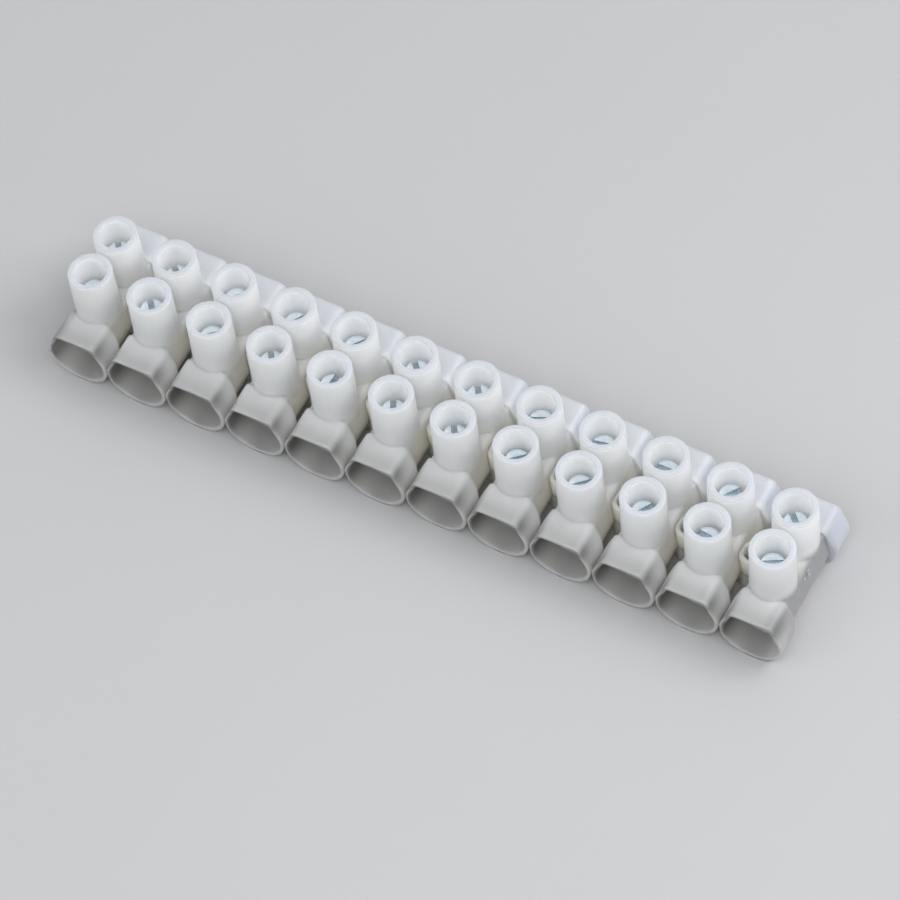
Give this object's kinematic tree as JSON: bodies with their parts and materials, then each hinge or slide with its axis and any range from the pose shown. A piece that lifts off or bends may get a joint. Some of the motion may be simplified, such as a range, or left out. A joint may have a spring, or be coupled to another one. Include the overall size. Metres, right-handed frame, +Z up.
{
  "type": "screw terminal strip",
  "caption": "Translucent moulded terminal strip with flared wire entries along both sides and two rows of slotted clamping screws sunk in round chimneys.",
  "frame": {"origin": "centre of the strip on its underside", "axes": "+X along the strip, -Y towards the front wire entries, +Z up towards the chimney rims"},
  "size_m": [0.1196, 0.0222, 0.0184],
  "materials": {
    "housing": "satin",
    "contact": "satin",
    "screw": "satin"
  },
  "bodies": {
    "strip": {"housing": "housing", "contact_01": "contact", "contact_02": "contact", "contact_03": "contact", "contact_04": "contact", "contact_05": "contact", "contact_06": "contact", "contact_07": "contact", "contact_08": "contact", "contact_09": "contact", "contact_10": "contact", "contact_11": "contact", "contact_12": "contact"},
    "screw_front_01": {"screw_front_01": "screw"},
    "screw_front_02": {"screw_front_02": "screw"},
    "screw_front_03": {"screw_front_03": "screw"},
    "screw_front_04": {"screw_front_04": "screw"},
    "screw_front_05": {"screw_front_05": "screw"},
    "screw_front_06": {"screw_front_06": "screw"},
    "screw_front_07": {"screw_front_07": "screw"},
    "screw_front_08": {"screw_front_08": "screw"},
    "screw_front_09": {"screw_front_09": "screw"},
    "screw_front_10": {"screw_front_10": "screw"},
    "screw_front_11": {"screw_front_11": "screw"},
    "screw_front_12": {"screw_front_12": "screw"},
    "screw_rear_01": {"screw_rear_01": "screw"},
    "screw_rear_02": {"screw_rear_02": "screw"},
    "screw_rear_03": {"screw_rear_03": "screw"},
    "screw_rear_04": {"screw_rear_04": "screw"},
    "screw_rear_05": {"screw_rear_05": "screw"},
    "screw_rear_06": {"screw_rear_06": "screw"},
    "screw_rear_07": {"screw_rear_07": "screw"},
    "screw_rear_08": {"screw_rear_08": "screw"},
    "screw_rear_09": {"screw_rear_09": "screw"},
    "screw_rear_10": {"screw_rear_10": "screw"},
    "screw_rear_11": {"screw_rear_11": "screw"},
    "screw_rear_12": {"screw_rear_12": "screw"}
  },
  "joints": [
    {"name": "clamp_front_01", "type": "slide", "parent": "strip", "child": "screw_front_01", "axis": [0, 0, 1], "range_m": [-0.0033, 0.0012]},
    {"name": "clamp_front_02", "type": "slide", "parent": "strip", "child": "screw_front_02", "axis": [0, 0, 1], "range_m": [-0.0044, 0.0001]},
    {"name": "clamp_front_03", "type": "slide", "parent": "strip", "child": "screw_front_03", "axis": [0, 0, 1], "range_m": [-0.0037, 0.0008]},
    {"name": "clamp_front_04", "type": "slide", "parent": "strip", "child": "screw_front_04", "axis": [0, 0, 1], "range_m": [-0.0035, 0.001]},
    {"name": "clamp_front_05", "type": "slide", "parent": "strip", "child": "screw_front_05", "axis": [0, 0, 1], "range_m": [-0.0038, 0.0007]},
    {"name": "clamp_front_06", "type": "slide", "parent": "strip", "child": "screw_front_06", "axis": [0, 0, 1], "range_m": [-0.0037, 0.0008]},
    {"name": "clamp_front_07", "type": "slide", "parent": "strip", "child": "screw_front_07", "axis": [0, 0, 1], "range_m": [-0.0037, 0.0008]},
    {"name": "clamp_front_08", "type": "slide", "parent": "strip", "child": "screw_front_08", "axis": [0, 0, 1], "range_m": [-0.0038, 0.0007]},
    {"name": "clamp_front_09", "type": "slide", "parent": "strip", "child": "screw_front_09", "axis": [0, 0, 1], "range_m": [-0.0038, 0.0007]},
    {"name": "clamp_front_10", "type": "slide", "parent": "strip", "child": "screw_front_10", "axis": [0, 0, 1], "range_m": [-0.0038, 0.0007]},
    {"name": "clamp_front_11", "type": "slide", "parent": "strip", "child": "screw_front_11", "axis": [0, 0, 1], "range_m": [-0.0037, 0.0008]},
    {"name": "clamp_front_12", "type": "slide", "parent": "strip", "child": "screw_front_12", "axis": [0, 0, 1], "range_m": [-0.0038, 0.0007]},
    {"name": "clamp_rear_01", "type": "slide", "parent": "strip", "child": "screw_rear_01", "axis": [0, 0, 1], "range_m": [-0.0035, 0.001]},
    {"name": "clamp_rear_02", "type": "slide", "parent": "strip", "child": "screw_rear_02", "axis": [0, 0, 1], "range_m": [-0.0034, 0.0011]},
    {"name": "clamp_rear_03", "type": "slide", "parent": "strip", "child": "screw_rear_03", "axis": [0, 0, 1], "range_m": [-0.0036, 0.0009]},
    {"name": "clamp_rear_04", "type": "slide", "parent": "strip", "child": "screw_rear_04", "axis": [0, 0, 1], "range_m": [-0.0036, 0.0009]},
    {"name": "clamp_rear_05", "type": "slide", "parent": "strip", "child": "screw_rear_05", "axis": [0, 0, 1], "range_m": [-0.0037, 0.0008]},
    {"name": "clamp_rear_06", "type": "slide", "parent": "strip", "child": "screw_rear_06", "axis": [0, 0, 1], "range_m": [-0.0037, 0.0008]},
    {"name": "clamp_rear_07", "type": "slide", "parent": "strip", "child": "screw_rear_07", "axis": [0, 0, 1], "range_m": [-0.0038, 0.0007]},
    {"name": "clamp_rear_08", "type": "slide", "parent": "strip", "child": "screw_rear_08", "axis": [0, 0, 1], "range_m": [-0.0037, 0.0008]},
    {"name": "clamp_rear_09", "type": "slide", "parent": "strip", "child": "screw_rear_09", "axis": [0, 0, 1], "range_m": [-0.0037, 0.0008]},
    {"name": "clamp_rear_10", "type": "slide", "parent": "strip", "child": "screw_rear_10", "axis": [0, 0, 1], "range_m": [-0.0038, 0.0007]},
    {"name": "clamp_rear_11", "type": "slide", "parent": "strip", "child": "screw_rear_11", "axis": [0, 0, 1], "range_m": [-0.0042, 0.0003]},
    {"name": "clamp_rear_12", "type": "slide", "parent": "strip", "child": "screw_rear_12", "axis": [0, 0, 1], "range_m": [-0.0039, 0.0006]}
  ]
}
